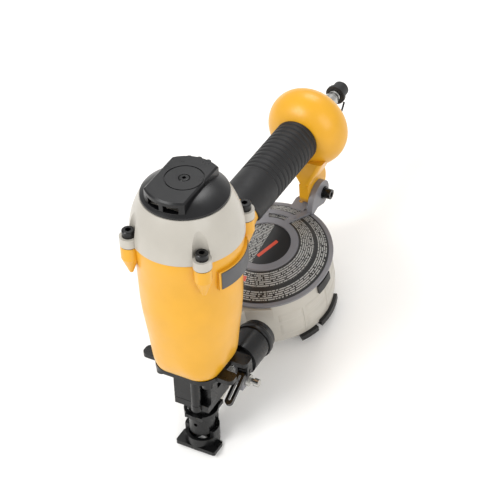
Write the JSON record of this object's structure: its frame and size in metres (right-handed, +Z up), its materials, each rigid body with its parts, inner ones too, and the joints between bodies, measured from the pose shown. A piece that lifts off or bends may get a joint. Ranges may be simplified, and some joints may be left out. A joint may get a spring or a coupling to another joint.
{
  "type": "pneumatic nail gun",
  "caption": "Compressed-air coil nailer with a domed head, ribbed side handle, round swing-out magazine and sprung contact foot.",
  "frame": {"origin": "middle of the resting tool's bounding box, on the bench", "axes": "+Z up, +Y from the head towards the air plug, +X towards the feed cylinder's side"},
  "size_m": [0.1086, 0.3138, 0.2587],
  "materials": {
    "orange_paint": "satin powder coat",
    "cap_paint": "satin paint over a casting",
    "black_plastic": "moulded, lightly textured",
    "black_steel": "black oxide over steel",
    "plated_steel": "plated, turned",
    "grip_rubber": "ribbed rubber",
    "seal_rubber": "plain",
    "grey_paint": "satin",
    "magazine_paint": "satin paint over a casting",
    "cast_aluminium": "machined",
    "label_film": "printed film",
    "badge_film": "plain film"
  },
  "bodies": {
    "housing": {"air_plug": "plated_steel", "body_housing": "orange_paint", "bumper": "seal_rubber", "cap_gasket": "seal_rubber", "cap_screws": "black_steel", "cap_strap": "seal_rubber", "cover_label": "label_film", "cylinder_cap": "cap_paint", "cylinder_sleeve": "cast_aluminium", "deflector_screw": "black_steel", "door_pin": "plated_steel", "drum_hinge_pin": "plated_steel", "end_cap": "orange_paint", "end_cap_screws": "black_steel", "feed_cylinder": "black_steel", "feed_end_cap": "black_plastic", "feed_spring": "plated_steel", "grip_sleeve": "grip_rubber", "head_valve_spring": "plated_steel", "latch_pin": "plated_steel", "magazine_cover": "grey_paint", "nose_body": "black_steel", "nose_bolts": "black_steel", "side_badges": "badge_film", "strut_bolt": "black_steel", "strut_nut": "black_steel", "trigger_pin": "plated_steel", "trigger_valve": "black_plastic", "trip_spring": "plated_steel"},
    "deflector": {"deflector": "black_plastic"},
    "driver": {"drive_piston": "cast_aluminium", "piston_ring": "seal_rubber", "driver_blade": "plated_steel"},
    "head_valve": {"head_valve": "black_plastic"},
    "trigger": {"trigger": "black_plastic"},
    "trigger_stem": {"trigger_stem": "plated_steel"},
    "nose_door": {"nose_door": "black_steel"},
    "door_latch": {"door_latch": "plated_steel"},
    "trip": {"contact_foot": "black_steel", "contact_arm": "black_steel"},
    "depth_wheel": {"depth_wheel": "black_plastic"},
    "feed": {"feed_piston": "plated_steel", "feed_pawl": "grey_paint", "pawl_bolt": "plated_steel"},
    "drum": {"drum": "magazine_paint", "drum_pads": "seal_rubber", "nail_post": "black_plastic"},
    "nail_platform": {"nail_platform": "black_plastic"},
    "dust_cap": {"dust_cap": "seal_rubber"}
  },
  "joints": [
    {"name": "deflector_turn", "type": "hinge", "parent": "housing", "child": "deflector", "pos_m": [0.0014, -0.06533, 0.24213], "axis": [0, 0.319, 0.9478], "continuous": true},
    {"name": "driver_stroke", "type": "slide", "parent": "housing", "child": "driver", "axis": [0, -0.319, -0.9478], "range_m": [0, 0.078]},
    {"name": "head_valve_lift", "type": "slide", "parent": "housing", "child": "head_valve", "axis": [0, 0.319, 0.9478], "range_m": [0, 0.004]},
    {"name": "trigger_pull", "type": "hinge", "parent": "housing", "child": "trigger", "pos_m": [0.0014, -0.05491, 0.12889], "axis": [1, 0, 0], "range_deg": [0, 10], "stiffness_Nm_per_rad": 0.8, "springref_deg": -14.9},
    {"name": "trigger_stem_push", "type": "slide", "parent": "housing", "child": "trigger_stem", "axis": [0, 0.319, 0.9478], "range_m": [0, 0.0031]},
    {"name": "nose_door_swing", "type": "hinge", "parent": "housing", "child": "nose_door", "pos_m": [0.0059, -0.13636, 0.06556], "axis": [0, 0.319, 0.9478], "range_deg": [0, 90]},
    {"name": "door_latch_lift", "type": "hinge", "parent": "housing", "child": "door_latch", "pos_m": [0.0367, -0.10914, 0.07434], "axis": [1, 0, 0], "range_deg": [0, 30]},
    {"name": "contact_trip", "type": "slide", "parent": "housing", "child": "trip", "axis": [0, 0.319, 0.9478], "range_m": [0, 0.0092], "stiffness_N_per_m": 1000, "springref_m": -0.02},
    {"name": "depth_wheel_turn", "type": "hinge", "parent": "trip", "child": "depth_wheel", "pos_m": [-0.0351, -0.08821, 0.09578], "axis": [0, 0.319, 0.9478], "continuous": true},
    {"name": "feed_stroke", "type": "slide", "parent": "housing", "child": "feed", "axis": [0, -0.9478, 0.319], "range_m": [0, 0.009], "stiffness_N_per_m": 400, "springref_m": -0.01},
    {"name": "drum_swing", "type": "hinge", "parent": "housing", "child": "drum", "pos_m": [0.0036, 0.0582, 0.05615], "axis": [0, -0.0976, -0.9952], "range_deg": [0, 80]},
    {"name": "nail_platform_height", "type": "slide", "parent": "drum", "child": "nail_platform", "axis": [0, 0.0976, 0.9952], "range_m": [0, 0.02]},
    {"name": "dust_cap_pull", "type": "slide", "parent": "housing", "child": "dust_cap", "axis": [0, 0.9478, -0.319], "range_m": [0, 0.02]}
  ],
  "couplings": [
    {"joint": "trigger_stem_push", "follows": "trigger_pull", "m_per_rad": 0.0172}
  ]
}
